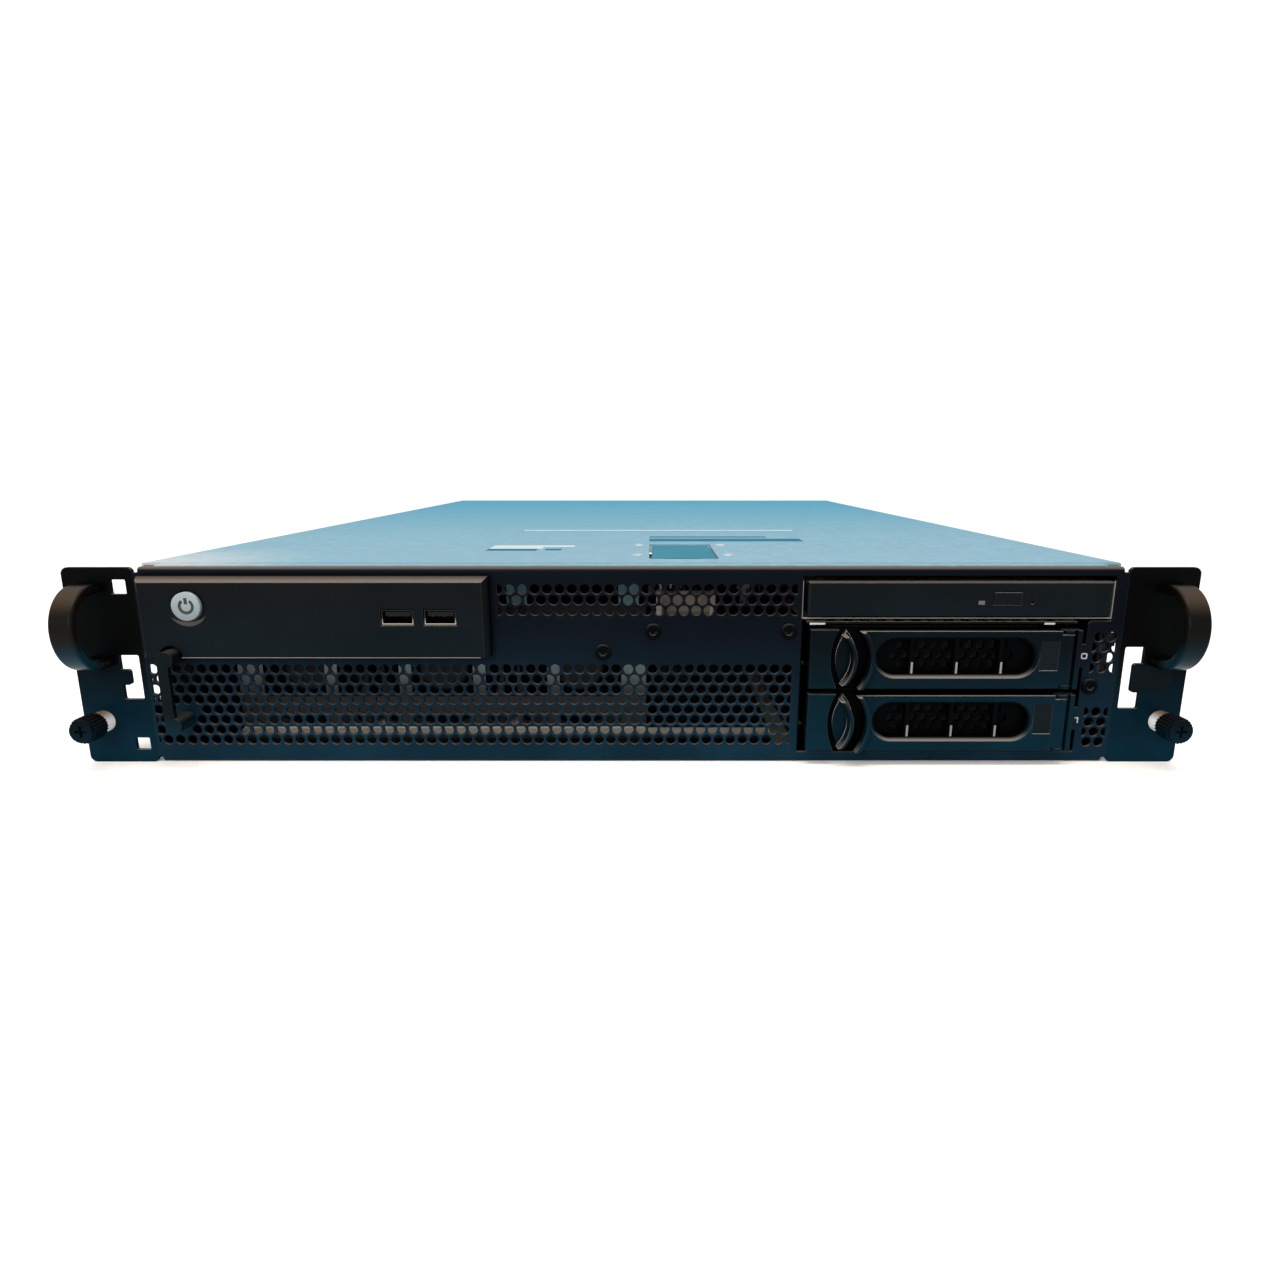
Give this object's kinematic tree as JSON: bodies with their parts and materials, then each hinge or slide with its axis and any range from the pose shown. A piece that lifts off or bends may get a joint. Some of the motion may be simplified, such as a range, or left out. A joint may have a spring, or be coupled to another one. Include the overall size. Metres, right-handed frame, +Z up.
{
  "type": "rackmount workstation",
  "caption": "Low wide rack computer with a perforated black front, pull-out drive carriers with finger levers, a slim optical drive, ear handles and a sliding steel cover.",
  "frame": {"origin": "under the middle of the bounding box, on the plane of the floor sheet", "axes": "+X to the right of a person who faces the front, +Y to the back, +Z up"},
  "size_m": [0.4826, 0.71, 0.088],
  "materials": {
    "black_steel": "satin",
    "zinc_steel": "satin",
    "cover_steel": "satin",
    "bright_steel": "polished",
    "black_plastic": "satin",
    "blue_black_plastic": "satin",
    "silver_plastic": "gloss",
    "circuit_board": "matte",
    "dark_casting": "matte",
    "fin_aluminium": "satin",
    "lead_grey": "matte",
    "lead_red": "matte"
  },
  "bodies": {
    "case": {"chassis_base": "zinc_steel", "rear_panel": "zinc_steel", "front_panel": "black_steel", "left_rack_ear": "black_steel", "right_rack_ear": "black_steel", "left_ear_handle": "black_steel", "right_ear_handle": "black_steel", "thumbscrew_collars": "bright_steel", "front_pull_handle": "black_steel", "rail_studs": "bright_steel", "case_screws": "black_steel", "control_bezel": "black_plastic", "front_usb_sockets": "bright_steel", "control_board": "circuit_board", "optical_drive_case": "zinc_steel", "drive_cage": "zinc_steel", "drive_backplane": "circuit_board", "fan_cage": "zinc_steel", "fan_frames": "black_plastic", "air_shroud": "black_plastic", "motherboard": "circuit_board", "board_standoffs": "bright_steel", "processors": "zinc_steel", "cpu_heat_sinks": "fin_aluminium", "memory_sockets": "black_plastic", "memory_modules": "circuit_board", "rear_io_sockets": "zinc_steel", "riser_card": "circuit_board", "graphics_card": "circuit_board", "graphics_cooler": "fin_aluminium", "slot_covers": "zinc_steel", "power_supply_case": "zinc_steel", "power_inlet": "black_plastic", "control_ribbon": "lead_grey", "data_leads": "lead_red", "power_harness": "black_plastic"},
    "left_thumbscrew": {"left_thumbscrew": "black_steel"},
    "right_thumbscrew": {"right_thumbscrew": "black_steel"},
    "power_button": {"power_button": "silver_plastic"},
    "tray": {"optical_tray": "black_plastic", "optical_bezel": "black_plastic"},
    "eject_button": {"eject_button": "black_plastic"},
    "disc_hub": {"disc_hub": "black_plastic"},
    "carrier_0": {"drive_carrier_0": "blue_black_plastic", "hard_disk_0": "dark_casting"},
    "lever_0": {"carrier_lever_0": "blue_black_plastic"},
    "release_0": {"carrier_release_0": "blue_black_plastic"},
    "carrier_1": {"drive_carrier_1": "blue_black_plastic", "hard_disk_1": "dark_casting"},
    "lever_1": {"carrier_lever_1": "blue_black_plastic"},
    "release_1": {"carrier_release_1": "blue_black_plastic"},
    "cover": {"top_cover": "cover_steel", "cover_latch_pocket": "cover_steel", "cover_latch_pin": "bright_steel", "cover_rivets": "bright_steel"},
    "latch": {"cover_latch_lever": "black_plastic"},
    "fan_1": {"fan_impeller_1": "black_plastic"},
    "fan_2": {"fan_impeller_2": "black_plastic"},
    "fan_3": {"fan_impeller_3": "black_plastic"},
    "psu_fan": {"psu_impeller": "black_plastic"}
  },
  "joints": [
    {"name": "left_thumbscrew_turn", "type": "hinge", "parent": "case", "child": "left_thumbscrew", "pos_m": [-0.23255, -0.329, 0.0189], "axis": [0, 1, 0], "continuous": true},
    {"name": "right_thumbscrew_turn", "type": "hinge", "parent": "case", "child": "right_thumbscrew", "pos_m": [0.23255, -0.329, 0.0189], "axis": [0, 1, 0], "continuous": true},
    {"name": "power_press", "type": "slide", "parent": "case", "child": "power_button", "axis": [0, 1, 0], "range_m": [0, 0.0015], "stiffness_N_per_m": 400},
    {"name": "tray_slide", "type": "slide", "parent": "case", "child": "tray", "axis": [0, -1, 0], "range_m": [0, 0.118]},
    {"name": "eject_press", "type": "slide", "parent": "tray", "child": "eject_button", "axis": [0, 1, 0], "range_m": [0, 0.0008], "stiffness_N_per_m": 400},
    {"name": "disc_spin", "type": "hinge", "parent": "tray", "child": "disc_hub", "pos_m": [0.1394, -0.2642, 0.07], "axis": [0, 0, 1], "continuous": true},
    {"name": "carrier_slide_0", "type": "slide", "parent": "case", "child": "carrier_0", "axis": [0, -1, 0], "range_m": [0, 0.16]},
    {"name": "lever_swing_0", "type": "hinge", "parent": "carrier_0", "child": "lever_0", "pos_m": [0.1866, -0.33225, 0.0348], "axis": [0, 0, 1], "range_deg": [0, 55]},
    {"name": "release_pinch_0", "type": "slide", "parent": "carrier_0", "child": "release_0", "axis": [1, 0, 0], "range_m": [0, 0.003], "stiffness_N_per_m": 300},
    {"name": "carrier_slide_1", "type": "slide", "parent": "case", "child": "carrier_1", "axis": [0, -1, 0], "range_m": [0, 0.16]},
    {"name": "lever_swing_1", "type": "hinge", "parent": "carrier_1", "child": "lever_1", "pos_m": [0.1866, -0.33225, 0.0066], "axis": [0, 0, 1], "range_deg": [0, 55]},
    {"name": "release_pinch_1", "type": "slide", "parent": "carrier_1", "child": "release_1", "axis": [1, 0, 0], "range_m": [0, 0.003], "stiffness_N_per_m": 300},
    {"name": "cover_slide", "type": "slide", "parent": "case", "child": "cover", "axis": [0, 1, 0], "range_m": [0, 0.012]},
    {"name": "latch_lift", "type": "hinge", "parent": "cover", "child": "latch", "pos_m": [0.0233, -0.2361, 0.0825], "axis": [-1, 0, 0], "range_deg": [0, 80]},
    {"name": "fan_spin_1", "type": "hinge", "parent": "case", "child": "fan_1", "pos_m": [-0.15985, -0.269, 0.0322], "axis": [0, 1, 0], "continuous": true},
    {"name": "fan_spin_2", "type": "hinge", "parent": "case", "child": "fan_2", "pos_m": [-0.09355, -0.269, 0.0322], "axis": [0, 1, 0], "continuous": true},
    {"name": "fan_spin_3", "type": "hinge", "parent": "case", "child": "fan_3", "pos_m": [-0.02725, -0.269, 0.0322], "axis": [0, 1, 0], "continuous": true},
    {"name": "psu_fan_spin", "type": "hinge", "parent": "case", "child": "psu_fan", "pos_m": [0.1445, 0.331, 0.042], "axis": [0, 1, 0], "continuous": true}
  ],
  "couplings": [
    {"joint": "latch_lift", "follows": "cover_slide", "rad_per_m": 116}
  ]
}
